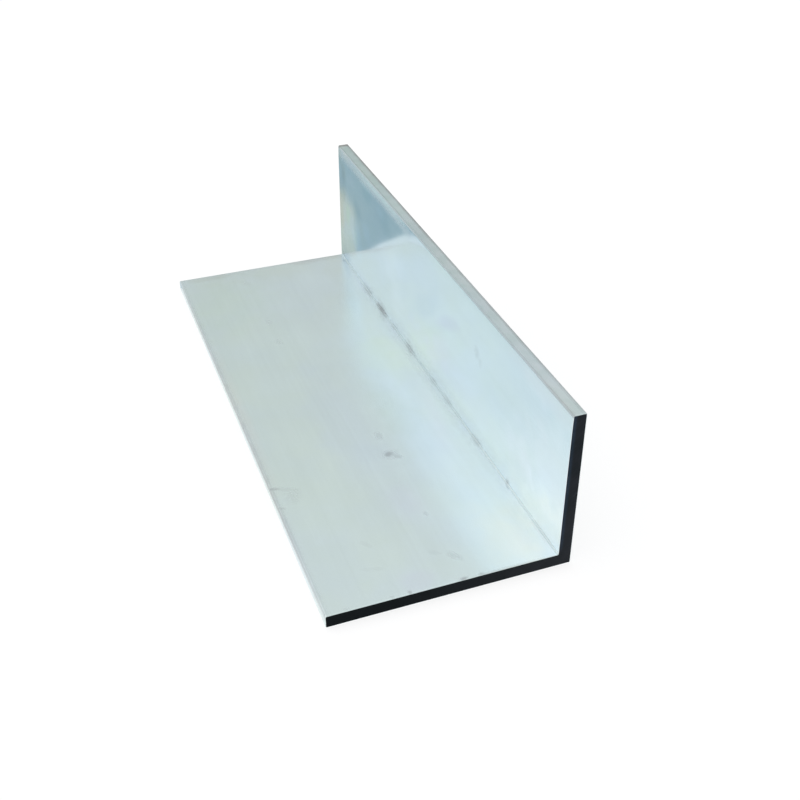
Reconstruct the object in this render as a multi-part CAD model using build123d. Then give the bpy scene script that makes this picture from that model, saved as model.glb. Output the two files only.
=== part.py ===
"""Unequal angle section, extruded in aluminium and sawn square to a short length.

The wide leg lies flat and the other leg stands up from its right-hand edge. Lengths are in
millimetres. +Z is up, +Y runs along the length, and +X points from the toe of the flat leg to
the heel. The origin is at the middle of the face that the angle lies on.
"""

import os

from build123d import *

# The section
flat_leg = 70.0  # outside width of the leg that lies flat
upright_leg = 50.0  # outside height of the leg that stands up
wall = 4.0  # thickness of both legs
root_radius = 0.8  # fillet in the inside corner
heel_radius = 0.4  # rounding of the outside corner
toe_radius = 0.5  # rounding of the edges along the two toes

# The cut length
cut_length = 190.0
edge_break = 0.15  # width of the file's chamfer round each sawn end

# Where the faces of the section stand
toe_x = -flat_leg / 2
heel_x = flat_leg / 2
inner_x = heel_x - wall


def corner_at(section, x, z):
    """The vertex of the section nearest to a point of its plane."""
    return section.vertices().sort_by_distance(Vector(x, 0, z))[0]


def angle_outline():
    """The L outline, looking along the length, with its corners rounded."""
    outline = Polyline(
        (toe_x, 0, 0),
        (heel_x, 0, 0),
        (heel_x, 0, upright_leg),
        (inner_x, 0, upright_leg),
        (inner_x, 0, wall),
        (toe_x, 0, wall),
        close=True,
    )
    section = make_face(outline)
    toe_corners = [
        (toe_x, 0),
        (toe_x, wall),
        (inner_x, upright_leg),
        (heel_x, upright_leg),
    ]
    for x, z in toe_corners:
        section = fillet(corner_at(section, x, z), toe_radius)
    section = fillet(corner_at(section, heel_x, 0), heel_radius)
    return fillet(corner_at(section, inner_x, wall), root_radius)


def angle_section():
    """The bar: the outline drawn out along Y, with the edges of both cuts eased."""
    bar = extrude(angle_outline(), cut_length / 2, dir=(0, 1, 0), both=True)
    cuts = bar.faces().filter_by(Axis.Y)
    return chamfer(cuts.edges(), edge_break)


os.makedirs("parts", exist_ok=True)
export_step(angle_section(), "parts/angle_section.step")
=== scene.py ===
"""Looks for a short length of unequal aluminium angle with a mill finish and two sawn ends.

The frame gives the section's outside sizes and its length. The bar is swept again from them,
with finer roundings and the small unevenness of drawn metal, and takes two materials: the mill
finish that the die leaves, with painted reflections and painted light and shade laid on it, and
the sawn ends, painted near-black as shade. Everything is in metres in the row frame: +Z is up,
+Y runs along the length and +X points from the toe to the heel.
"""

import logging
import math
from dataclasses import dataclass, field, fields
from enum import Enum
from typing import Any, Callable

import bpy
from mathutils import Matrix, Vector


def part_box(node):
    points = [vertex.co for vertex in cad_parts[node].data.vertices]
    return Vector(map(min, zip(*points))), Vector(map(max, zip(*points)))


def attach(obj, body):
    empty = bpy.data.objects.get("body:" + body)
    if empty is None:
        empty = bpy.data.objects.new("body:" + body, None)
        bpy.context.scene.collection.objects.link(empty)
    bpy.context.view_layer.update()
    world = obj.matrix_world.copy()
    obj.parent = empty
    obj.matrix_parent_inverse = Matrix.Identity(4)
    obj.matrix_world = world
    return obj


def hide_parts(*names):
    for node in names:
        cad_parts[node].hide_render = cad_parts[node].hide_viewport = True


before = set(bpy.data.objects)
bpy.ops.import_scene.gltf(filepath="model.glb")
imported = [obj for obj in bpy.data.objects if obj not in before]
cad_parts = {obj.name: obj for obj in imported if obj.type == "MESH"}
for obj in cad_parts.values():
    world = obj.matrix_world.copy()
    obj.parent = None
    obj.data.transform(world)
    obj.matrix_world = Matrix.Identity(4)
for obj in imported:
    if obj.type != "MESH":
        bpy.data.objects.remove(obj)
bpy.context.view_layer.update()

log = logging.getLogger("angle_section")

MM = 0.001
NODE = "angle_section"
BODY = "root"

WHITE = (1.0, 1.0, 1.0)
ON_FACE = 0.05  # how near a face counts as on it, in millimetres
FAR_AWAY = 1000.0  # further than any spot reaches, in millimetres
BUMP_DISTANCE = 0.1 * MM  # how high the surface stands where a finish says 1
CUT_FACING = 0.999  # how squarely a cut's faces look along Y
ARC_POINTS = 7  # points on each rounded corner
EASE_STEPS = 2  # steps of the mesh round each cut's edge
TOE_LINE = 0.6  # how far below the flat leg's top the dirt on its toe runs, in millimetres

Colour = tuple[float, float, float]
Point = tuple[float, float, float]


class Ray(Enum):
    """The kinds of ray that see the white of the floor; the camera sees a white backdrop too."""

    CAMERA = "Is Camera Ray"
    GLOSSY = "Is Glossy Ray"
    CLEAR = "Is Transmission Ray"


# Nodes


def math_node(operation: str, turned: bool = False) -> Callable[..., "Number"]:
    """Makes a method of Number.

    Args:
        operation: the Math node's operation.
        turned: whether self comes last, as in a reflected operator.

    Returns:
        The method.
    """

    def method(self: "Number", *others: "Operand") -> "Number":
        """Adds the Math node and returns its result."""
        values = enumerate((*others, self) if turned else (self, *others))
        return self.sheet.number("ShaderNodeMath", {"operation": operation}, dict(values))

    return method


class Number:
    """A socket that carries one number, on which Python's operators add Math nodes."""

    def __init__(self, sheet: "Sheet", socket: bpy.types.NodeSocket) -> None:
        """Wraps a socket of the sheet's tree."""
        self.sheet = sheet
        self.socket = socket

    __add__ = math_node("ADD")
    __radd__ = math_node("ADD", turned=True)
    __sub__ = math_node("SUBTRACT")
    __rsub__ = math_node("SUBTRACT", turned=True)
    __mul__ = math_node("MULTIPLY")
    __rmul__ = math_node("MULTIPLY", turned=True)
    __truediv__ = math_node("DIVIDE")
    __rtruediv__ = math_node("DIVIDE", turned=True)
    __mod__ = math_node("MODULO")
    __rmod__ = math_node("MODULO", turned=True)
    __pow__ = math_node("POWER")
    __rpow__ = math_node("POWER", turned=True)
    __abs__ = math_node("ABSOLUTE")
    least = math_node("MINIMUM")
    most = math_node("MAXIMUM")
    floor = math_node("FLOOR")
    sign = math_node("SIGN")
    sine = math_node("SINE")
    cosine = math_node("COSINE")
    above = math_node("GREATER_THAN")  # 1 where self is above the other, else 0

    def ramp(self, low: "Operand", high: "Operand") -> "Number":
        """A smooth step.

        Args:
            low: where it is 0; above high for a falling step.
            high: where it is 1.

        Returns:
            The step, from 0 to 1.
        """
        settings = {"interpolation_type": "SMOOTHSTEP"}
        values = {"Value": self, "From Min": low, "From Max": high}
        return self.sheet.number("ShaderNodeMapRange", settings, values)


Operand = Number | float | int


class Sheet:
    """A node tree as it is drawn up."""

    def __init__(self, tree: bpy.types.NodeTree) -> None:
        """Starts on an empty tree."""
        self.tree = tree
        tree.nodes.clear()

    def node(self, kind: str, settings: Any = None, values: Any = None) -> bpy.types.Node:
        """Adds a node.

        Args:
            kind: the node's type.
            settings: its properties; "items" is how many entries an index switch has.
            values: what its sockets take, by identifier or index: a number, a tuple, a socket,
                a material or a Number.

        Returns:
            The node.
        """
        node = self.tree.nodes.new(kind)
        for name, value in (settings or {}).items():
            if name == "items":
                while len(node.index_switch_items) < value:
                    node.index_switch_items.new()
            else:
                setattr(node, name, value)
        for key, value in (values or {}).items():
            self.fill(self.find(node.inputs, key), value)
        return node

    def find(self, sockets: Any, key: str | int) -> bpy.types.NodeSocket:
        """Finds a socket.

        Args:
            sockets: a node's inputs or outputs.
            key: its index or identifier.

        Returns:
            The socket.
        """
        if isinstance(key, int):
            return sockets[key]
        return next(socket for socket in sockets if socket.identifier == key)

    def fill(self, socket: bpy.types.NodeSocket, value: Any) -> None:
        """Links an input, or sets the value on it.

        Args:
            socket: the input.
            value: what it takes, as in node().
        """
        if isinstance(value, Number):
            value = value.socket
        if isinstance(value, bpy.types.NodeSocket):
            self.tree.links.new(value, socket)
        else:
            socket.default_value = value

    def output(self, kind: str, settings: Any = None, values: Any = None, out: str | int = 0) -> Any:
        """Adds a node and returns one of its output sockets."""
        return self.find(self.node(kind, settings, values).outputs, out)

    def number(self, kind: str, settings: Any = None, values: Any = None, out: str | int = 0) -> Number:
        """Adds a node and returns one of its outputs as a Number."""
        return Number(self, self.output(kind, settings, values, out))

    def parts(self, vector: Any) -> tuple[Number, Number, Number]:
        """The three numbers of a vector."""
        node = self.node("ShaderNodeSeparateXYZ", None, {0: vector})
        return tuple(Number(self, socket) for socket in node.outputs)

    def vector(self, x: Operand, y: Operand, z: Operand = 0.0) -> bpy.types.NodeSocket:
        """A vector from three numbers."""
        return self.output("ShaderNodeCombineXYZ", None, {0: x, 1: y, 2: z})

    def vector_maths(self, operation: str, *operands: Any) -> bpy.types.NodeSocket:
        """The vector that a Vector Math node gives."""
        values = dict(enumerate(operands))
        return self.output("ShaderNodeVectorMath", {"operation": operation}, values)

    def measure(self, operation: str, first: Any, second: Any) -> Number:
        """The number that a Vector Math node gives for two vectors."""
        settings = {"operation": operation}
        return self.number("ShaderNodeVectorMath", settings, {0: first, 1: second}, "Value")

    def millimetres(self) -> bpy.types.NodeSocket:
        """The shaded point in object coordinates, in millimetres."""
        place = self.output("ShaderNodeTexCoord", out="Object")
        return self.output("ShaderNodeVectorMath", {"operation": "SCALE"}, {0: place, "Scale": 1 / MM})

    def noise(self, place: Any, scale: Operand, detail: float = 2.0, seed: Operand = 0.0) -> Number:
        """Even noise.

        Args:
            place: where it is read.
            scale: how many grains to a unit of place.
            detail: how many finer layers it has.
            seed: another number gives other noise.

        Returns:
            The noise, from 0 to 1 and mostly near 0.5.
        """
        values = {"Vector": place, "Scale": scale, "Detail": detail, "W": seed}
        return self.number("ShaderNodeTexNoise", {"noise_dimensions": "4D"}, values, "Fac")

    def blend(self, share: Operand, first: Any, second: Any, how: str = "MIX") -> Any:
        """Mixes two colours.

        Args:
            share: how much of the second, from 0 to 1.
            first: the first colour.
            second: the second colour.
            how: the way they blend.

        Returns:
            The colour's socket.
        """
        settings = {"data_type": "RGBA", "blend_type": how, "clamp_factor": True}
        values = {"Factor_Float": share, "A_Color": first, "B_Color": second}
        for key in ("A_Color", "B_Color"):
            if isinstance(values[key], tuple):
                values[key] = (*values[key], 1.0)
        return self.output("ShaderNodeMix", settings, values, "Result_Color")


# Finishes


class Edge(Enum):
    """The long edges that grime, wear, painted light and painted shade follow, seen in the section."""

    ROOT = "root"
    FLAT_TOE = "flat toe"
    TOP_INNER = "top inner"
    TOP_OUTER = "top outer"


class Skin:
    """A point of the bar's surface, in millimetres, with the inside unrolled about its root.

    Attributes:
        sheet: the material's sheet.
        edges: where each long edge is in the section, x and z.
        place: the point, whose coordinates are x, along and z.
        across: how far it is from the root, below 0 on the flat leg.
        outside: 1 on the underside and the upright leg's outside, else 0.
        unrolled: the point on the unrolled inside.
        far_off: what keeps spots off the outside: 0 inside, a large number there.
    """

    def __init__(self, sheet: Sheet, edges: dict[Edge, tuple[float, float]]) -> None:
        """Reads the point.

        Args:
            sheet: the material's sheet.
            edges: where each long edge is.
        """
        self.sheet = sheet
        self.edges = edges
        self.place = sheet.millimetres()
        self.x, self.along, self.z = sheet.parts(self.place)
        root_x, root_z = edges[Edge.ROOT]
        outer_x, _ = edges[Edge.TOP_OUTER]
        self.across = (self.x - root_x) + (self.z - root_z)
        self.outside = self.x.above(outer_x - ON_FACE).most((self.z * -1.0).above(-ON_FACE))
        self.unrolled = sheet.vector(self.across, self.along)
        self.far_off = self.outside * FAR_AWAY

    def reach(self, edge: Edge) -> Number:
        """How far the point is from an edge."""
        edge_x, edge_z = self.edges[edge]
        return ((self.x - edge_x) ** 2.0 + (self.z - edge_z) ** 2.0) ** 0.5


@dataclass(frozen=True)
class Spot:
    """A roundish spot on the unrolled inside of the section.

    Attributes:
        across: its middle across the length.
        along: its middle along the length.
        width: how wide it is before its turn.
        length: how long it is before its turn.
        turn: how far it is turned anticlockwise, in degrees.
        soft: how much of the radius its edge takes.
    """

    across: float
    along: float
    width: float
    length: float
    turn: float = field(default=0.0, kw_only=True)
    soft: float = field(default=0.8, kw_only=True)

    def mask(self, skin: Skin, ragged: Number) -> Number:
        """Where the spot is.

        Args:
            skin: the surface's point.
            ragged: what is added to the distance, for an uneven outline.

        Returns:
            The mask, from 0 to 1.
        """
        turn = math.radians(self.turn)
        widthwise = (math.cos(turn) * 2 / self.width, math.sin(turn) * 2 / self.width, 0.0)
        lengthwise = (-math.sin(turn) * 2 / self.length, math.cos(turn) * 2 / self.length, 0.0)
        middle = (self.across, self.along, 0.0)
        offset = skin.sheet.vector_maths("SUBTRACT", skin.unrolled, middle)
        side = skin.sheet.measure("DOT_PRODUCT", offset, widthwise)
        run = skin.sheet.measure("DOT_PRODUCT", offset, lengthwise)
        return ((side * side + run * run) ** 0.5 + ragged).ramp(1.0, 1.0 - self.soft)


@dataclass(frozen=True)
class Mark(Spot):
    """A small dark speck, nick, scratch or dash; depth is how much of the metal it hides."""

    depth: float


@dataclass(frozen=True)
class Patch(Spot):
    """A stretch of another tone: the metal's own in some places, and painted reflection and painted
    light in others.

    Attributes:
        tint: what its colour is multiplied by.
        bloom: how much of the metal is under a dull white bloom, from 0 to 1.
    """

    tint: Colour
    bloom: float = 0.0


@dataclass(frozen=True)
class Trace:
    """A darker line along an edge: grime or wear on most edges, and painted shade that dims the
    highlight on the upright leg's top inner edge.

    Attributes:
        edge: the edge.
        start: its near end along Y.
        end: its far end along Y.
        width: how far it reaches from the edge.
        depth: how much of the metal the line hides, from 0 to 1.
    """

    edge: Edge
    start: float
    end: float
    width: float
    depth: float


# In millimetres, on the unrolled inside
MARKS = (
    Mark(-27.8, -36.9, 4, 4, 0.42),
    Mark(-27.5, -37.2, 8, 7, 0.12),
    Mark(-25.6, -38.8, 2.6, 4.5, 0.16, turn=40),
    Mark(-27.4, -26.9, 3.6, 6, 0.16),
    Mark(-27.3, -66.7, 1.8, 2.6, 0.16),
    Mark(-64.6, -41, 2, 4.6, 0.36, turn=78),
    Mark(-61.5, -42.4, 2.4, 7.5, 0.14, turn=68),
    Mark(-60.5, -46, 7, 10, 0.09, turn=-15),
    Mark(-64.8, -50.4, 1.6, 3, 0.22, turn=60),
    Mark(-47.4, -72.9, 2.4, 6.5, 0.06, turn=35),
    Mark(-49, -82.8, 2.4, 9, 0.05, turn=72),
    Mark(-26.6, -85.4, 3.4, 8, 0.14, turn=35),
    Mark(-31, -82.5, 3, 5, 0.06, turn=60),
    Mark(-42.7, -94.3, 1.8, 2, 0.45),
    Mark(-47.6, -94.4, 1.6, 1.4, 0.2),
    Mark(-27.6, -94.5, 4, 1.6, 0.5),
    Mark(-22.5, -94.5, 3, 1.4, 0.3),
    Mark(-60, -94.3, 2.6, 1.4, 0.15),
    Mark(-41.8, 38, 3.4, 5, 0.1, turn=10),
    Mark(-41.6, 52.5, 3.6, 5, 0.08),
    Mark(-42, 84, 4, 7, 0.06, turn=10),
    # These fourteen are darker dashes along the root corner.
    Mark(1.6, 92, 2.4, 5.5, 0.4, turn=-30),
    Mark(-0.8, 8, 7, 210, 0.08),
    Mark(0.2, 47, 2.8, 17, 0.55),
    Mark(1.9, 46.5, 5, 12, 0.18),
    Mark(0.4, 33, 4, 9, 0.1),
    Mark(0.3, 62.5, 4.6, 14, 0.22),
    Mark(0.2, 17, 2.8, 15, 0.26),
    Mark(1.6, 18, 4.4, 8, 0.12),
    Mark(0.3, -4.5, 4, 7, 0.14),
    Mark(0.3, -16.5, 4, 9, 0.12),
    Mark(0.3, -40, 4.2, 11, 0.15),
    Mark(0.8, -62.6, 2.6, 3.6, 0.38, turn=25),
    Mark(-0.2, -86, 3, 19, 0.09),
    Mark(0.3, 84, 3, 22, 0.08),
    Mark(30.6, -37.2, 6, 5, 0.11),
    Mark(28.8, -40, 5, 4, 0.06),
    Mark(48, 94.6, 8, 5, 0.75),
    Mark(-33, 95, 90, 2.6, 0.24),
    Mark(-14, -94.9, 34, 1.6, 0.2),
)
# Many of these are painted: those on the upright leg towards its far end are painted reflections,
# lighter and darker, and the pale ones towards the near end are painted light.
TONES_AND_PAINTED_LIGHT = (
    Patch(18.5, 87.5, 27, 23, (0.97, 0.98, 0.955), bloom=0.25, soft=0.35),
    Patch(20, 93.5, 20, 9, (1.02, 0.95, 0.89), soft=0.6),
    Patch(22, 84.5, 14, 7, (0.97, 1.04, 0.96)),
    Patch(11, 82.5, 12, 14, (0.92, 0.98, 1.02), soft=1),
    Patch(6, 86.5, 10, 20, (0.93, 0.95, 0.99)),
    Patch(35.5, 90, 14, 10, (0.83, 0.855, 0.865), soft=1),
    Patch(37, 81, 8, 14, (1.06, 1.03, 1.04)),
    Patch(28.5, 73.5, 13, 15, (0.8, 0.865, 0.895), soft=1),
    Patch(24, 64, 10, 12, (1.03, 1.03, 1.06)),
    Patch(39, 61.5, 9, 20, (0.87, 0.93, 0.94), turn=10, soft=1),
    Patch(37, 44, 17, 24, (0.9, 0.945, 0.95), turn=-30, soft=1),
    Patch(38.5, 47, 7, 12, (1.07, 1.06, 1.07), soft=1),
    Patch(42.2, 63, 4, 20, (1.08, 1.09, 1.08), soft=1),
    Patch(43, 94, 14, 9, (1.0, 0.96, 0.89)),
    Patch(31.5, 93.5, 7, 7, (0.95, 0.93, 0.94)),
    Patch(46, 0, 3, 400, (0.95, 1.0, 1.0), soft=1),
    Patch(5, 0, 9, 400, (1.0, 1.0, 0.985), soft=1),
    Patch(12, -25, 18, 130, (1.01, 1.005, 1.035), soft=1),
    Patch(11.5, 8, 11, 34, (1.0, 0.99, 1.03)),
    Patch(9, -86, 20, 36, (1.025, 1.04, 1.05)),
    Patch(-5, 0, 18, 400, (1.0, 0.99, 0.945), soft=1),
    Patch(24, 4, 12, 46, (0.94, 0.955, 0.985), turn=35),
    Patch(15, -10, 16, 44, (1.03, 0.99, 1.045), turn=25),
    Patch(12, 30, 18, 22, (1.03, 1.02, 1.03), turn=12),
    Patch(25, 38, 26, 36, (1.045, 1.035, 1.045), turn=-20),
    Patch(20, -92, 46, 70, (1.1, 1.05, 1.06)),
    Patch(5, -84, 24, 66, (1.08, 1.045, 1.01)),
    Patch(14, -67, 18, 30, (1.03, 1.01, 1.03)),
    Patch(44, -82, 12, 60, (1.06, 1.02, 1.01)),
    Patch(27.5, -14, 8, 28, (0.955, 0.93, 0.96), turn=25),
    Patch(28, 90, 10, 9, (0.95, 0.92, 0.85)),
    Patch(38, 89, 10, 10, (1.0, 0.96, 0.91)),
    Patch(44.8, 52, 3.2, 70, (1.12, 1.14, 1.09)),
    Patch(44.8, 86, 3.2, 16, (1.1, 1.04, 1.0)),
    Patch(17, 81, 19, 16, (0.99, 1.04, 1.14), soft=1),
    Patch(12, 88, 14, 10, (0.985, 1.01, 1.07)),
    Patch(-3, -86, 9, 44, (0.955, 0.965, 0.985)),
    Patch(2.5, 90.5, 11, 18, (0.8, 0.85, 0.91), soft=1),
    Patch(16, 74.5, 21, 15, (1.02, 1.08, 1.16), soft=1),
    Patch(-50, 0, 70, 300, (0.99, 0.995, 0.955)),
    Patch(-36, -16, 28, 92, (0.975, 0.975, 1.04)),
    Patch(-43, 36, 44, 34, (1.01, 1.015, 1.04)),
    Patch(-18, -16, 16, 40, (0.955, 0.96, 0.945)),
    Patch(-64.5, 0, 6, 120, (1.02, 0.98, 0.975), soft=1),
    Patch(-31, -60, 15, 24, (1.0, 0.98, 1.02)),
    Patch(-39.5, -91, 14, 13, (1.0, 0.975, 1.03)),
    Patch(-53, 70, 40, 70, (0.985, 1.0, 0.98), turn=-20),
    Patch(-33, 94, 90, 30, (0.985, 0.975, 0.96)),
    Patch(-53.5, 93, 26, 5, (0.96, 0.94, 0.93)),
    Patch(-12, 94, 30, 7, (0.93, 0.9, 0.89)),
    Patch(-10.5, 16, 20, 42, (0.995, 1.005, 0.955)),
    Patch(-10, -84, 22, 40, (1.05, 1.01, 0.965)),
)
TRACES = (
    Trace(Edge.TOP_OUTER, -110, 110, 1.5, 0.52),
    Trace(Edge.TOP_OUTER, 0, 120, 1.5, 0.22),
    Trace(Edge.TOP_OUTER, 55, 130, 2, 0.22),
    # Painted shade: these two lines dim the highlight that the top inner edge's rounding catches.
    Trace(Edge.TOP_INNER, -105, 105, 1, 0.13),
    Trace(Edge.TOP_INNER, -104, -77, 1.2, 0.1),
    Trace(Edge.FLAT_TOE, -108, 110, 1.6, 0.41),
)


@dataclass(frozen=True)
class MillFinish:
    """Aluminium as it leaves the die: bright, streaked along the length, patchy and handled, with
    painted reflections and painted light and shade laid on it.

    Attributes:
        edges: where each long edge is in the section, x and z in millimetres.
        cool: the metal's colour where it looks bluer.
        warm: its colour where it looks greener.
        dirt: the colour of the marks and edge lines, grime and painted shade alike.
        toe_dirt: their colour on the upright leg's toe.
        toe_far: what that toe's face is tinted by at its far end.
        toe_near: what it is tinted by at its near end.
        toe_mottle: what it is tinted by in blotches.
        root_far: the dull root fillet's colour along most of the length.
        root_near: its colour at the near end, paler there as painted light.
        foot_far: painted shade: what its lower half is darkened by at the far end.
        foot_near: painted shade: what it is darkened by at the near end.
        flat_roughness: how soft the flat leg's reflections are.
        upright_roughness: how soft the upright leg's are.
        rubbed_band: how far the rubbed band reaches down from the upright leg's toe.
        toe_depth: how far down the toe's face is taken to reach.
        root_fade: how far from the root its fillet's colour begins and is full.
        foot_fade: how high above the flat leg the painted shade on the lower half begins and is full.
        marks: the specks, nicks, scratches and the darker dashes along the root.
        patches: the stretches of another tone, many of them painted reflections and painted light.
        traces: the dirty and worn edges.
    """

    edges: dict[Edge, tuple[float, float]]
    cool: Colour = (0.768, 0.878, 0.925)
    warm: Colour = (0.785, 0.892, 0.880)
    dirt: Colour = (0.250, 0.270, 0.280)
    toe_dirt: Colour = (0.205, 0.195, 0.185)
    toe_far: Colour = (0.700, 0.735, 0.700)
    toe_near: Colour = (0.890, 0.875, 0.870)
    toe_mottle: Colour = (0.93, 0.96, 0.945)
    root_far: Colour = (0.77, 0.90, 0.90)
    root_near: Colour = (0.96, 1.0, 1.0)
    foot_far: Colour = (0.74, 0.78, 0.80)
    foot_near: Colour = (0.64, 0.76, 0.77)
    flat_roughness: float = 0.245
    upright_roughness: float = 0.12
    rubbed_band: float = 3.6
    toe_depth: float = 0.2
    root_fade: tuple[float, float] = (0.45, 0.30)
    foot_fade: tuple[float, float] = (0.18, 0.07)
    marks: tuple[Mark, ...] = MARKS
    patches: tuple[Patch, ...] = TONES_AND_PAINTED_LIGHT
    traces: tuple[Trace, ...] = TRACES

    def material(self) -> bpy.types.Material:
        """Makes the material.

        Returns:
            The material, in object coordinates.
        """
        material, sheet = new_material("mill_aluminium")
        skin = Skin(sheet, self.edges)
        across, along, z = skin.across, skin.along, skin.z
        _, root_z = self.edges[Edge.ROOT]
        _, top_z = self.edges[Edge.TOP_OUTER]
        toe = z.above(top_z - self.toe_depth)

        # What varies
        tone = sheet.noise(sheet.vector(across, along * 0.8), 0.045, seed=1.0).ramp(0.36, 0.64)
        tone = tone * 0.5 + across.ramp(2.0, -8.0) * 0.35
        cloud = sheet.noise(sheet.vector(across, along * 0.6), 0.07, 3.0, seed=2.0)
        drawn = sheet.noise(sheet.vector(across, along * 0.01), 1.0, 1.0, seed=3.0)
        bands = sheet.noise(sheet.vector(across * 0.22, along * 0.004), 1.0, seed=4.0)
        smudge = sheet.noise(sheet.vector(across, along), 0.06, 1.0, seed=5.0).ramp(0.40, 0.70)
        scratch = self._scratches(skin)
        dirt_and_shade = (self._marks(skin) + self._traces(skin)).least(0.95)
        corner = skin.reach(Edge.ROOT).ramp(*self.root_fade)
        pale = along.ramp(-5.0, -70.0)
        worn = skin.reach(Edge.TOP_INNER).ramp(0.8, 0.5)

        # Colour
        light = 0.94 + cloud * 0.08 + (drawn - 0.5) * 0.04 + (bands - 0.5) * 0.04
        light = light * (1.0 - scratch * 0.04) * (1.0 - worn * 0.18)
        colour = sheet.blend(tone, self.cool, self.warm)
        # The metal's own tones, with painted reflections and painted light among them
        colour, bloom = self._patches(skin, colour)
        colour = sheet.blend(1.0, colour, light.socket, "MULTIPLY")
        toe_tint = sheet.blend(along.ramp(60.0, -5.0), self.toe_far, self.toe_near)
        mottle = sheet.noise(skin.place, 0.22, 1.0, seed=9.0).ramp(0.38, 0.62)
        toe_tint = sheet.blend(mottle, toe_tint, self.toe_mottle, "MULTIPLY")
        colour = sheet.blend(toe, colour, toe_tint, "MULTIPLY")
        # Painted light and shade: the dull root fillet is painted paler towards the near end, and
        # darker on its foot against the flat leg.
        dull = sheet.blend(pale, self.root_far, self.root_near)
        foot_shade = sheet.blend(pale, self.foot_far, self.foot_near)
        foot_starts, foot_full = self.foot_fade
        lower = z.ramp(root_z + foot_starts, root_z + foot_full)
        dull = sheet.blend(lower, dull, foot_shade, "MULTIPLY")
        colour = sheet.blend(corner, colour, dull)
        # Marks and edge lines darken the colour; along the top inner edge that darkening is painted
        # shade.
        colour = sheet.blend(dirt_and_shade, colour, sheet.blend(toe, self.dirt, self.toe_dirt))

        # Gloss
        band = top_z - root_z - self.rubbed_band
        rubbed = across.ramp(band - 1.6, band + 1.2) * along.ramp(12.0, 34.0) * (1.0 - skin.outside)
        haze = along.ramp(-40.0, -75.0) * across.ramp(0.0, 3.0)
        rough = across.ramp(-0.5, 0.5) * (self.upright_roughness - self.flat_roughness)
        rough = rough + self.flat_roughness + (drawn - 0.5) * 0.04 + smudge * 0.015 + haze * 0.10
        rough = rough + scratch * 0.02 + dirt_and_shade * 0.3 + rubbed * 0.2 + worn * 0.35 + corner * 0.15
        metallic = 1.0 - bloom - rubbed * 0.30 - dirt_and_shade * 0.8 - worn * 0.35
        metallic = (metallic - corner * (0.75 + pale * 0.25)).most(0.0)
        height = drawn * 0.5 + bands * 1.2 - scratch * 0.35
        finish_shader(sheet, colour, rough, metallic, height, bump=0.04)
        return material

    def _scratches(self, skin: Skin) -> Number:
        """Sparse hairlines at three slants.

        Args:
            skin: the surface's point.

        Returns:
            Where a hairline is, from 0 to 1.
        """
        total: Operand = 0.0
        for turn, seed in ((8.0, 11.0), (-21.0, 12.0), (63.0, 13.0)):
            slant = math.radians(turn)
            side = skin.across * math.cos(slant) - skin.along * math.sin(slant)
            run = skin.across * math.sin(slant) + skin.along * math.cos(slant)
            line = skin.sheet.noise(skin.sheet.vector(side * 1.3, run * 0.05), 1.0, 1.0, seed)
            total = line.ramp(0.735, 0.80) + total
        return total.least(1.0)

    def _marks(self, skin: Skin) -> Number:
        """How much of the metal the specks, nicks, scratches and root dashes hide.

        Args:
            skin: the surface's point.

        Returns:
            The share, from 0 up.
        """
        ragged = (skin.sheet.noise(skin.place, 0.7, seed=6.0) - 0.5) * 0.7 + skin.far_off
        total: Operand = 0.0
        for mark in self.marks:
            total = mark.mask(skin, ragged) * mark.depth + total
        return total

    def _traces(self, skin: Skin) -> Number:
        """How much of the metal the dirt along the edges hides.

        Args:
            How much of the metal the darker lines along the edges hide: grime, and painted shade on the
            top inner edge.

        Returns:
            The share, from 0 up.
        """
        waver = skin.sheet.vector(skin.along, skin.x * 0.3)
        ragged = (skin.sheet.noise(waver, 0.25, 5.0, seed=7.0) - 0.5) * 0.6
        total: Operand = 0.0
        for trace in self.traces:
            reach = skin.reach(trace.edge)
            middle, half = (trace.start + trace.end) / 2, (trace.end - trace.start) / 2
            run = (abs(skin.along - middle) / half + ragged * 0.3).ramp(1.15, 0.5)
            total = (reach / trace.width + ragged).ramp(1.0, 0.2) * run * trace.depth + total
        outer_x, _ = self.edges[Edge.TOP_OUTER]
        return (1.0 - skin.x.ramp(outer_x - 0.4, outer_x - 0.1)) * total

    def _patches(self, skin: Skin, colour: Any) -> tuple[Any, Number]:
        """Lays the stretches of another tone, many of them painted reflections and painted light, over
        the metal's colour.

        Args:
            skin: the surface's point.
            colour: the metal's colour.

        Returns:
            The new colour, and how much bloom there is.
        """
        ragged = (skin.sheet.noise(skin.unrolled, 0.14, seed=8.0) - 0.5) * 0.9 + skin.far_off
        bloom: Operand = 0.0
        for patch in self.patches:
            mask = patch.mask(skin, ragged)
            colour = skin.sheet.blend(mask, colour, patch.tint, "MULTIPLY")
            if patch.bloom:
                bloom = mask * patch.bloom + bloom
        return colour, bloom


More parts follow.
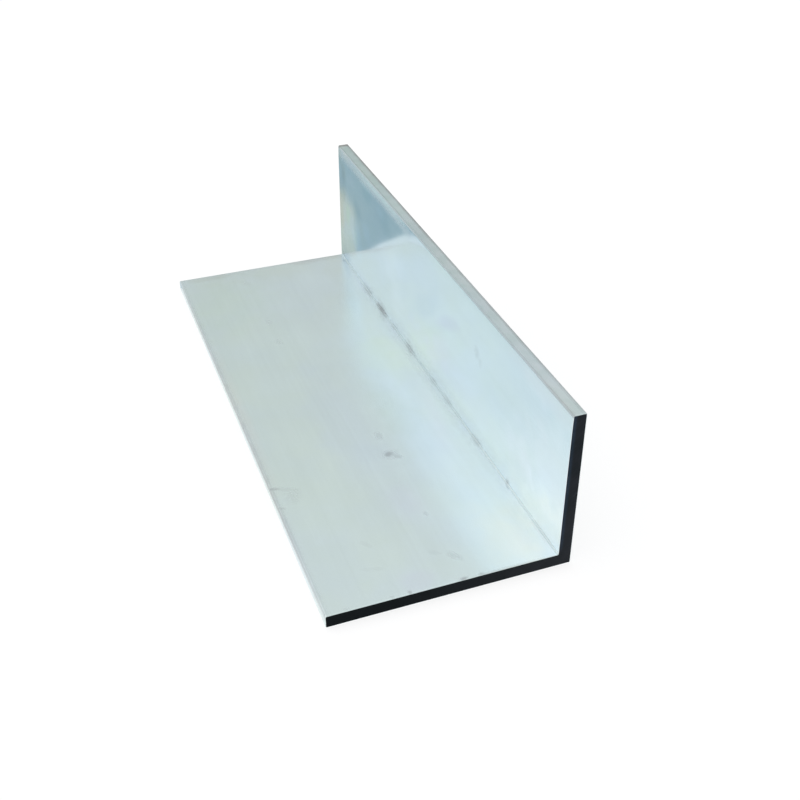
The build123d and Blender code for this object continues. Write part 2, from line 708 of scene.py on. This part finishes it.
@dataclass(frozen=True)
class ShadedSawnEnd:
    """A sawn end, with the saw's curved lines, painted near-black as the shade it lies in.

    Attributes:
        dark: its colour in the grooves, near-black painted shade.
        light: its colour on the ridges, painted shade a little less dark.
        heel_tint: painted light: how much lighter the painted shade is towards the heel.
        burr_tint: painted light: how much lighter and bluer the painted shade is along the inside of
            the upright leg.
        stain: what it is tinted by in blotches.
        roughness: how soft its reflections are.
        pitch: from one saw line to the next, in millimetres.
        blade: the saw's centre, x and z in millimetres.
        inside: where the upright leg's inside is, as x in millimetres.
    """

    dark: Colour = (0.0030, 0.0050, 0.0064)
    light: Colour = (0.0075, 0.0115, 0.0150)
    heel_tint: Colour = (3.5, 2.6, 2.5)
    burr_tint: Colour = (1.4, 1.75, 2.15)
    stain: Colour = (0.72, 0.80, 0.78)
    roughness: float = 0.36
    pitch: float = 0.85
    blade: tuple[float, float] = (-60.0, 150.0)
    inside: float = 31.0

    def material(self) -> bpy.types.Material:
        """Makes the material.

        Returns:
            The material, in object coordinates.
        """
        material, sheet = new_material("sawn_aluminium")
        place = sheet.millimetres()
        x, _, z = sheet.parts(place)
        reach = ((x - self.blade[0]) ** 2.0 + (z - self.blade[1]) ** 2.0) ** 0.5
        wander = sheet.noise(place, 0.25, seed=21.0)
        lines = ((reach + wander * 0.8) * (2 * math.pi / self.pitch)).sine() * 0.5 + 0.5
        fine = sheet.noise(sheet.vector(reach * 6.0, x * 0.05), 1.0, 3.0, seed=22.0)
        torn = sheet.noise(place, 0.9, 4.0, seed=23.0).ramp(0.62, 0.74)
        ridge = lines * 0.10 + fine * 0.6 + torn * 0.3 + 0.1
        # Painted shade: both colours are near-black, as the ends lie in shade.
        colour = sheet.blend(ridge.ramp(0.15, 0.95), self.dark, self.light)
        blotch = sheet.noise(place, 0.16, seed=24.0).ramp(0.35, 0.65)
        colour = sheet.blend(blotch, colour, self.stain, "MULTIPLY")
        # Painted light: the painted shade grows lighter towards the heel, and lighter and bluer along
        # the upright leg's inside.
        colour = sheet.blend(x.ramp(-15.0, 35.0), colour, self.heel_tint, "MULTIPLY")
        inner_light = x.ramp(self.inside + 1.5, self.inside + 0.7) * z.ramp(4.0, 8.0)
        colour = sheet.blend(inner_light, colour, self.burr_tint, "MULTIPLY")
        rough = self.roughness + (fine - 0.5) * 0.2
        finish_shader(sheet, colour, rough, 1.0, ridge, bump=0.35)
        return material


def new_material(name: str) -> tuple[bpy.types.Material, Sheet]:
    """Makes an empty node material.

    Args:
        name: its name.

    Returns:
        The material, and the sheet on its tree.
    """
    material = bpy.data.materials.new(name)
    material.use_nodes = True
    return material, Sheet(material.node_tree)


def finish_shader(
    sheet: Sheet, colour: Any, roughness: Number, metallic: Operand, height: Number, bump: float
) -> None:
    """Ends a material with one Principled shader.

    Args:
        sheet: the material's sheet.
        colour: its colour.
        roughness: how soft its reflections are.
        metallic: how much of it is bare metal.
        height: how high the surface stands.
        bump: how strongly that height shows.
    """
    values = {"Strength": bump, "Distance": BUMP_DISTANCE, "Height": height}
    normal = sheet.output("ShaderNodeBump", None, values)
    values = {"Base Color": colour, "Roughness": roughness, "Normal": normal, "Metallic": metallic}
    shader = sheet.output("ShaderNodeBsdfPrincipled", None, values)
    sheet.node("ShaderNodeOutputMaterial", None, {"Surface": shader})


# The bar


class ShapeSheet(Sheet):
    """A geometry-node tree with named inputs.

    Attributes:
        inputs: what each input is set to.
        given: each input's socket inside the tree.
        stored: the names of the values that the tree keeps on its points.
    """

    def __init__(self, name: str, inputs: dict[str, float | int | bpy.types.Material]) -> None:
        """Starts the tree.

        Args:
            name: the tree's name.
            inputs: what each of its inputs is set to.
        """
        super().__init__(bpy.data.node_groups.new(name, "GeometryNodeTree"))
        self.inputs = inputs
        self.stored: list[str] = []
        kinds = {float: "NodeSocketFloat", int: "NodeSocketInt"}
        for each, value in inputs.items():
            kind = kinds.get(type(value), "NodeSocketMaterial")
            self.tree.interface.new_socket(each, in_out="INPUT", socket_type=kind)
        self.tree.interface.new_socket("Shape", in_out="OUTPUT", socket_type="NodeSocketGeometry")
        group = self.node("NodeGroupInput")
        self.given = {socket.name: Number(self, socket) for socket in group.outputs if socket.name}

    def change(self, kind: str, shape: Any, values: Any = None, settings: Any = None) -> Any:
        """Adds a geometry node of that kind, which changes the shape in its first socket."""
        return self.output("GeometryNode" + kind, settings, {0: shape, **(values or {})})

    def pick(self, kind: str, options: tuple[Any, ...]) -> Any:
        """Gives each point its own value.

        Args:
            kind: the values' type.
            options: the values, in the points' order.

        Returns:
            The value of the point.
        """
        values = {0: self.output("GeometryNodeInputIndex"), **dict(enumerate(options, start=1))}
        settings = {"data_type": kind, "items": len(options)}
        return self.output("GeometryNodeIndexSwitch", settings, values)

    def keep(self, shape: Any, name: str, value: Any, kind: str = "FLOAT") -> Any:
        """Stores a value on a shape's points.

        Args:
            shape: the shape.
            name: what the value is stored under.
            value: the value.
            kind: its type.

        Returns:
            The shape.
        """
        self.stored.append(name)
        settings = {"data_type": kind, "domain": "POINT"}
        return self.change("StoreNamedAttribute", shape, {"Name": name, "Value": value}, settings)

    def kept(self, name: str, kind: str = "FLOAT") -> Any:
        """Reads what keep() stored under that name."""
        return self.output("GeometryNodeInputNamedAttribute", {"data_type": kind}, {"Name": name})

    def run(self, name: str) -> bpy.types.Object:
        """Runs the tree once and keeps what it makes as a plain mesh.

        Args:
            name: the piece's name.

        Returns:
            The piece, at the origin, with no modifier.
        """
        piece = bpy.data.objects.new(name, bpy.data.meshes.new(name))
        bpy.context.scene.collection.objects.link(piece)
        modifier = piece.modifiers.new("shape", "NODES")
        modifier.node_group = self.tree
        for item in self.tree.interface.items_tree:
            if item.in_out == "INPUT":
                modifier[item.identifier] = self.inputs[item.name]
        bake_modifiers(piece)
        for attribute in self.stored:
            if attribute in piece.data.attributes:
                piece.data.attributes.remove(piece.data.attributes[attribute])
        return piece


@dataclass
class AngleSection:
    """The bar itself: an L outline swept along the length, with eased ends.

    Attributes:
        flat_leg: outside width of the leg that lies flat.
        upright_leg: outside height of the leg that stands up.
        length: the cut length.
        wall: thickness of both legs.
        root_radius: fillet of the inside corner.
        heel_radius: rounding of the outside corner.
        toe_radius: rounding of the four toe edges.
        edge_break: rounding round each cut.
        face_step: the widest mesh face across the section.
        rings: how many rings of the mesh run round the bar, an odd number.
        crowding: how strongly they gather at the ends.
        unevenness: how far the faces wander from flat.
        waves: how many waves that wander has to the metre.
        seed: another number gives another wander.
        toe_relief: how far the upright leg's inside leans back just under its toe.
        relief_height: how far down from the toe that lean starts.
        nicks: the nicks in the top edge of the near cut: x, reach and depth.
        sawn: the two cuts' material, with the saw's lines, painted near-black as shade.
    """

    flat_leg: float
    upright_leg: float
    length: float
    wall: float = 4.0 * MM
    root_radius: float = 0.25 * MM
    heel_radius: float = 0.4 * MM
    toe_radius: float = 0.5 * MM
    edge_break: float = 0.15 * MM
    face_step: float = 1.6 * MM
    rings: int = 131
    crowding: float = 1.25
    unevenness: float = 0.03 * MM
    waves: float = 38.0
    seed: float = 3.0
    toe_relief: float = 0.12 * MM
    relief_height: float = 3.4 * MM
    nicks: tuple[Point, ...] = (
        (-11.6 * MM, 1.3 * MM, 0.30 * MM),
        (-16.6 * MM, 1.0 * MM, 0.22 * MM),
        (1.2 * MM, 2.2 * MM, 0.20 * MM),
    )
    sawn: ShadedSawnEnd = field(default_factory=ShadedSawnEnd)

    @classmethod
    def from_box(cls, low: Vector, high: Vector) -> "AngleSection":
        """The bar whose outside sizes are those of a box, from its lowest and highest corner."""
        size = high - low
        return cls(flat_leg=size.x, upright_leg=size.z, length=size.y)

    def build(self) -> bpy.types.Object:
        """Makes the bar and hangs it on its body.

        Returns:
            The finished piece.
        """
        bar = self._sweep()
        self._knock(bar.data)
        even_normals(bar)
        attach(bar, BODY)
        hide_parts(NODE)
        log.info("%s: %d faces", bar.name, len(bar.data.polygons))
        return bar

    def _sweep(self) -> bpy.types.Object:
        """Sweeps the outline along the length and gives the sides the mill finish and the cuts their
        sawn material, painted near-black as shade.

        Returns:
            The bar as a plain mesh.
        """
        sizes = {each.name: getattr(self, each.name) for each in fields(self)}
        inputs = {
            name.replace("_", " ").capitalize(): size
            for name, size in sizes.items()
            if isinstance(size, (float, int))
        }
        inputs["Mill finish"] = MillFinish(self._edges()).material()
        inputs["Sawn finish"] = self.sawn.material()
        sheet = ShapeSheet("sweep_angle", inputs)
        values = {"Profile Curve": self._outline(sheet), "Fill Caps": True}
        shape = sheet.change("CurveToMesh", self._spine(sheet), values)
        shape = self._place(sheet, shape)
        shape = self._relieve(sheet, shape)
        self._dress(sheet, shape)
        return sheet.run("angle_bar")

    def _edges(self) -> dict[Edge, tuple[float, float]]:
        """Finds the long edges in the section.

        Returns:
            Each edge's x and z, in millimetres.
        """
        heel, wall, top = self.flat_leg / 2 / MM, self.wall / MM, self.upright_leg / MM
        return {
            Edge.ROOT: (heel - wall, wall),
            Edge.FLAT_TOE: (-heel, wall - TOE_LINE),
            Edge.TOP_INNER: (heel - wall, top),
            Edge.TOP_OUTER: (heel, top),
        }

    def _outline(self, sheet: ShapeSheet) -> Any:
        """The rounded L, with each straight stretch cut into short steps.

        Args:
            sheet: the tree's sheet.

        Returns:
            A closed curve that carries its own place and its outward direction.
        """
        given = sheet.given
        heel = given["Flat leg"] * 0.5
        toe = heel * -1.0
        inner = heel - given["Wall"]
        top, wall, toe_round = given["Upright leg"], given["Wall"], given["Toe radius"]
        corners = (
            (toe, 0.0, toe_round),
            (heel, 0.0, given["Heel radius"]),
            (heel, top, toe_round),
            (inner, top, toe_round),
            (inner, wall, given["Root radius"]),
            (toe, wall, toe_round),
        )
        place = sheet.pick("VECTOR", tuple(sheet.vector(x, z) for x, z, _ in corners))
        radius = sheet.pick("FLOAT", tuple(radius for _, _, radius in corners))

        shape = sheet.output("GeometryNodeMeshLine", None, {"Count": len(corners)})
        shape = sheet.change("SetPosition", shape, {"Position": place})
        shape = sheet.keep(shape, "corner_radius", radius)
        shape = sheet.change("MeshToCurve", shape)
        shape = sheet.change("SetSplineCyclic", shape, {"Cyclic": True})
        values = {"Count": ARC_POINTS, "Radius": sheet.kept("corner_radius")}
        shape = sheet.change("FilletCurve", shape, values, {"mode": "POLY"})

        here = sheet.output("GeometryNodeInputPosition")
        points = sheet.number("GeometryNodeAttributeDomainSize", {"component": "CURVE"}, {0: shape})
        following = (sheet.number("GeometryNodeInputIndex") + 1.0) % points
        settings = {"data_type": "FLOAT_VECTOR", "domain": "POINT"}
        there = sheet.output("GeometryNodeFieldAtIndex", settings, {"Value": here, "Index": following})
        cuts = (sheet.measure("DISTANCE", here, there) / given["Face step"]).floor()
        shape = sheet.change("SubdivideCurve", shape, {"Cuts": cuts})

        tangent = sheet.output("GeometryNodeInputTangent")
        outward = sheet.vector_maths("CROSS_PRODUCT", tangent, (0.0, 0.0, 1.0))
        shape = sheet.keep(shape, "section", here, "FLOAT_VECTOR")
        return sheet.keep(shape, "outward", outward, "FLOAT_VECTOR")

    def _spine(self, sheet: ShapeSheet) -> Any:
        """The line that the outline follows, which carries where each ring stands.

        Args:
            sheet: the tree's sheet.

        Returns:
            The curve.
        """
        given = sheet.given
        last, ease = given["Rings"] - 1.0, given["Edge break"]
        index = sheet.number("GeometryNodeInputIndex")
        step = index.least(last - index)
        turn = step.least(EASE_STEPS) * (math.pi / 2 / EASE_STEPS)
        inset = ease * (1.0 - turn.sine())
        half = given["Length"] * 0.5
        run = ((step - EASE_STEPS).most(0.0) / (last * 0.5 - EASE_STEPS)) ** given["Crowding"]
        back = ease * (1.0 - turn.cosine()) + (half - ease) * run
        station = (index * 2.0 - last).sign() * (half - back)

        values = {"Count": given["Rings"], "Offset": (0.0, MM, 0.0)}
        shape = sheet.output("GeometryNodeMeshLine", None, values)
        shape = sheet.change("MeshToCurve", shape)
        shape = sheet.keep(shape, "inset", inset)
        return sheet.keep(shape, "station", station)

    def _place(self, sheet: ShapeSheet, shape: Any) -> Any:
        """Puts each vertex where its ring and its point of the outline say.

        Args:
            sheet: the tree's sheet.
            shape: the swept tube.

        Returns:
            The bar with its sizes.
        """
        section_x, section_z, _ = sheet.parts(sheet.kept("section", "FLOAT_VECTOR"))
        out_x, out_z, _ = sheet.parts(sheet.kept("outward", "FLOAT_VECTOR"))
        inset = Number(sheet, sheet.kept("inset"))
        station = Number(sheet, sheet.kept("station"))
        place = sheet.vector(section_x - out_x * inset, station, section_z - out_z * inset)
        return sheet.change("SetPosition", shape, {"Position": place})

    def _relieve(self, sheet: ShapeSheet, shape: Any) -> Any:
        """Lets the faces wander a little, always into the metal, and leans the toe back.

        Args:
            sheet: the tree's sheet.
            shape: the bar.

        Returns:
            The uneven bar.
        """
        given = sheet.given
        place = sheet.output("GeometryNodeInputPosition")
        _, _, z = sheet.parts(place)
        out_x, out_z, _ = sheet.parts(sheet.kept("outward", "FLOAT_VECTOR"))
        stretched = sheet.vector_maths("MULTIPLY", place, (1.0, 0.35, 1.0))
        wander = sheet.noise(stretched, given["Waves"], 1.0, given["Seed"])
        sink = wander.ramp(0.25, 0.75) * given["Unevenness"]

        reach = given["Relief height"]
        lean = ((z - (given["Upright leg"] - reach)) / reach).most(0.0) ** 1.6
        inside = (out_x * -1.0).above(0.5)
        sink = sink + lean * inside * given["Toe relief"]
        offset = sheet.vector(out_x * sink * -1.0, 0.0, out_z * sink * -1.0)
        return sheet.change("SetPosition", shape, {"Offset": offset})

    def _dress(self, sheet: ShapeSheet, shape: Any) -> None:
        """Smooths the sides, leaves the cuts flat, gives the sides the mill finish and the cuts the
        sawn material painted near-black as shade, and ends the tree.

        Args:
            sheet: the tree's sheet.
            shape: the bar.
        """
        normal = sheet.output("GeometryNodeInputNormal", out="True Normal")
        cut = abs(sheet.parts(normal)[1]).above(CUT_FACING)
        shape = sheet.change("SetShadeSmooth", shape, {"Shade Smooth": True})
        shape = sheet.change("SetShadeSmooth", shape, {"Selection": cut, "Shade Smooth": False})
        shape = sheet.change("RealizeInstances", shape)
        shape = sheet.change("SetMaterial", shape, {"Material": sheet.given["Mill finish"]})
        values = {"Selection": cut, "Material": sheet.given["Sawn finish"]}
        shape = sheet.change("SetMaterial", shape, values)
        sheet.node("NodeGroupOutput", None, {0: shape})

    def _knock(self, mesh: bpy.types.Mesh) -> None:
        """Presses the nicks in.

        Args:
            mesh: the bar's mesh, whose vertices move.
        """
        push = Vector((0.0, 0.7, -0.7))
        for vertex in mesh.vertices:
            for x, reach, depth in self.nicks:
                middle = Vector((x, -self.length / 2, self.wall))
                share = 1.0 - (vertex.co - middle).length / reach
                if share > 0.0:
                    vertex.co += push * depth * share


def bake_modifiers(piece: bpy.types.Object) -> None:
    """Replaces a piece's mesh by its evaluated one and removes its modifiers.

    Args:
        piece: the piece.
    """
    graph = bpy.context.evaluated_depsgraph_get()
    settled = bpy.data.meshes.new_from_object(piece.evaluated_get(graph))
    settled.name = piece.name
    piece.modifiers.clear()
    piece.data = settled


def even_normals(piece: bpy.types.Object) -> None:
    """Weights a piece's normals by face area, so that flat faces stay flat beside roundings.

    Args:
        piece: the piece.
    """
    modifier = piece.modifiers.new("normals", "WEIGHTED_NORMAL")
    modifier.mode = "FACE_AREA"
    modifier.keep_sharp = True
    bake_modifiers(piece)


# The studio


@dataclass(frozen=True)
class Card:
    """A flat card that only reflections see.

    Attributes:
        name: its name.
        corners: its corners in order, in millimetres.
        colour: how bright it looks.
    """

    name: str
    corners: tuple[Point, ...]
    colour: Colour


def floor_card(name: str, corners: tuple[tuple[float, float], ...], colour: Colour) -> Card:
    """A card that lies just above the floor, from its corners' X and Y in millimetres."""
    return Card(name, tuple((x, y, 0.1) for x, y in corners), colour)


def side_card(name: str, x: float, near: float, top: float, grey: float) -> Card:
    """A grey card that stands beside the bar, from its X, its near end and its top edge."""
    corners = ((x, near, 1), (x, 700, 1), (x, 700, top), (x, near, top))
    return Card(name, corners, (grey, grey, grey))


@dataclass
class Studio:
    """A pale floor, a soft room light, the cards and the camera.

    Attributes:
        eye: where the camera stands, in metres.
        heading_deg: how far it is turned from +Y towards +X.
        pitch_deg: how far it looks up, below 0 for down.
        focal_mm: its focal length, on the usual 36 mm sensor.
        floor_half: half the floor's width, in metres.
        floor_glow: how white the floor looks where no light falls.
        floor_colour: how much of the light it gives back.
        sky: the room's colour above the horizon.
        key: the colour of the light on the left.
        cards: what stands or lies round the bar.
    """

    eye: Point = (-0.0860, -0.2860, 0.2065)
    heading_deg: float = 20.47
    pitch_deg: float = -34.59
    focal_mm: float = 49.18
    floor_half: float = 6.0
    floor_glow: float = 0.74
    floor_colour: Colour = (0.3, 0.3, 0.3)
    sky: Colour = (0.6, 0.622, 0.622)
    key: Colour = (1.0, 0.9, 0.97)
    cards: tuple[Card, ...] = (
        floor_card(
            "far_card",
            ((24, 97), (9.6, 142), (9.6, 300), (-90, 300), (-90, 150), (-5, 111), (11, 105.5)),
            (0.35, 0.47, 0.53),
        ),
        floor_card(
            "pale_card",
            ((31, 96), (31, 300), (9.6, 300), (9.6, 142), (24, 97), (24, 96)),
            (0.56, 0.62, 0.57),
        ),
        floor_card(
            "sill_card",
            ((24, 96), (24, 97), (11, 105.5), (-5, 111), (-90, 150), (-90, 96)),
            (0.74, 0.82, 0.86),
        ),
        side_card("left_flag", -420, -60, 150, 0.5),
        side_card("right_flag", 300, -150, 130, 0.2),
    )

    def build(self) -> None:
        """Makes the floor, the light, the cards and the camera."""
        self._floor()
        self._room()
        for card in self.cards:
            self._card(card)
        self._camera()
        log.info("studio: floor, room light, %d cards, camera", len(self.cards))

    def _floor(self) -> None:
        """A plain white floor that keeps the object's shadow."""
        half = self.floor_half
        corners = ((-half, -half, 0.0), (half, -half, 0.0), (half, half, 0.0), (-half, half, 0.0))
        floor = flat_piece("floor", corners)
        material, sheet = new_material("floor_white")
        paths = sheet.node("ShaderNodeLightPath")
        camera, glossy, clear = (Number(sheet, paths.outputs[ray.value]) for ray in Ray)
        glow = camera.most(glossy).most(clear) * self.floor_glow
        dull = sheet.output("ShaderNodeBsdfDiffuse", None, {"Color": (*self.floor_colour, 1.0)})
        glow = sheet.output("ShaderNodeEmission", None, {"Strength": glow})
        both = sheet.output("ShaderNodeAddShader", None, {0: dull, 1: glow})
        sheet.node("ShaderNodeOutputMaterial", None, {"Surface": both})
        floor.data.materials.append(material)

    def _room(self) -> None:
        """A soft room, brighter at the left and overhead, which looks white to the camera."""
        world = bpy.data.worlds.new("room")
        world.use_nodes = True
        bpy.context.scene.world = world
        sheet = Sheet(world.node_tree)
        way = sheet.output("ShaderNodeTexCoord", out="Generated")
        side, _, height = sheet.parts(way)
        base = sheet.blend(height.ramp(0.02, 0.12), WHITE, self.sky)
        rise = height.ramp(0.42, 0.68) * 0.13 + height.ramp(0.75, 1.0) * 0.15
        rise = rise + (side - 0.12).most(0.0) * 0.28
        lamp = side.ramp(0.0, -0.28) * (0.27 + (height - 0.48).most(0.0))
        lamp = sheet.blend(1.0, self.key, lamp.socket, "MULTIPLY")
        light = sheet.blend(1.0, sheet.blend(1.0, base, rise.socket, "ADD"), lamp, "ADD")
        camera = sheet.node("ShaderNodeLightPath").outputs[Ray.CAMERA.value]
        light = sheet.blend(camera, light, WHITE)
        shade = sheet.output("ShaderNodeBackground", None, {"Color": light, "Strength": 1.0})
        sheet.node("ShaderNodeOutputWorld", None, {"Surface": shade})

    def _card(self, card: Card) -> None:
        """Makes a card that only glossy rays meet.

        Args:
            card: the card.
        """
        corners = tuple(tuple(value * MM for value in corner) for corner in card.corners)
        piece = flat_piece(card.name, corners)
        material, sheet = new_material(card.name)
        glow = sheet.output("ShaderNodeEmission", None, {"Color": (*card.colour, 1.0)})
        sheet.node("ShaderNodeOutputMaterial", None, {"Surface": glow})
        piece.data.materials.append(material)
        for ray in ("camera", "diffuse", "transmission", "shadow"):
            setattr(piece, "visible_" + ray, False)

    def _camera(self) -> None:
        """Puts the camera up."""
        lens = bpy.data.cameras.new("camera")
        lens.lens = self.focal_mm
        lens.clip_start = 0.01
        lens.clip_end = 30.0
        camera = bpy.data.objects.new("camera", lens)
        camera.location = self.eye
        upright = math.radians(90.0 + self.pitch_deg)
        camera.rotation_euler = (upright, 0.0, -math.radians(self.heading_deg))
        bpy.context.scene.collection.objects.link(camera)
        bpy.context.scene.camera = camera


def flat_piece(name: str, corners: tuple[Point, ...]) -> bpy.types.Object:
    """Makes a flat piece of the studio.

    Args:
        name: its name.
        corners: its corners in order, in metres.

    Returns:
        The piece.
    """
    mesh = bpy.data.meshes.new(name)
    mesh.from_pydata(corners, [], [range(len(corners))])
    piece = bpy.data.objects.new(name, mesh)
    bpy.context.scene.collection.objects.link(piece)
    return piece


# All of it


def main() -> None:
    """Builds the studio and the bar."""
    logging.basicConfig(level=logging.INFO, format="%(name)s: %(message)s")
    bpy.context.scene.view_settings.view_transform = "Standard"
    Studio().build()
    AngleSection.from_box(*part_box(NODE)).build()


if __name__ == "__main__":
    main()
